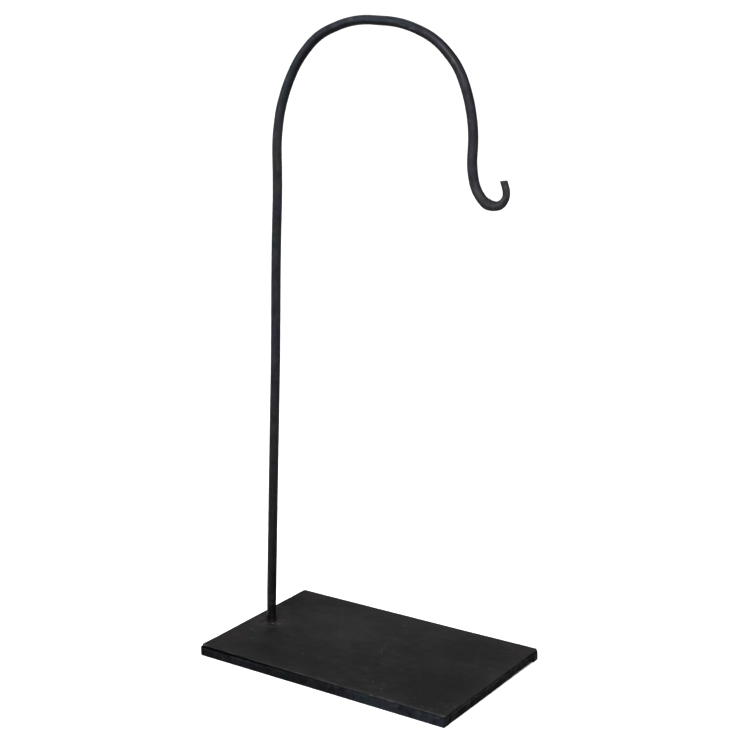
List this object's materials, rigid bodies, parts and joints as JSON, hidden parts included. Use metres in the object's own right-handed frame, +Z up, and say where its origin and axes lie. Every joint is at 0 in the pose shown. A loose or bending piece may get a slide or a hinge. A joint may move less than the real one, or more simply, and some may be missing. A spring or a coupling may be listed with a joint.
{
  "type": "free-standing lamp bracket",
  "caption": "Table stand of blackened steel: a round bar welded upright to a low rectangular base and bent into a gooseneck with a small open hook, for hanging a lamp or lantern.",
  "frame": {"origin": "on the table under the middle of the rectangular base", "axes": "+Z up along the post, +X along the base's long side from the post towards the hook, +Y across the base away from the front bar"},
  "size_m": [0.3241, 0.2056, 0.7067],
  "materials": {
    "rod_steel": "black satin finish on forged round bar, slightly cool, worn lighter where it catches",
    "sheet_steel": "black wax-like satin finish on sheet, mottled along its length, fine scratches, brown tints at the edges",
    "bar_steel": "black satin finish on square bar, worn edges",
    "weld_steel": "black finish over a rippled weld bead"
  },
  "bodies": {
    "root": {"top_sheet": "sheet_steel", "front_bar": "bar_steel", "back_bar": "bar_steel", "left_bar": "bar_steel", "right_bar": "bar_steel", "gooseneck_rod": "rod_steel", "foot_weld": "weld_steel", "under_weld": "weld_steel", "corner_welds": "weld_steel", "sheet_tacks": "weld_steel"}
  },
  "joints": []
}
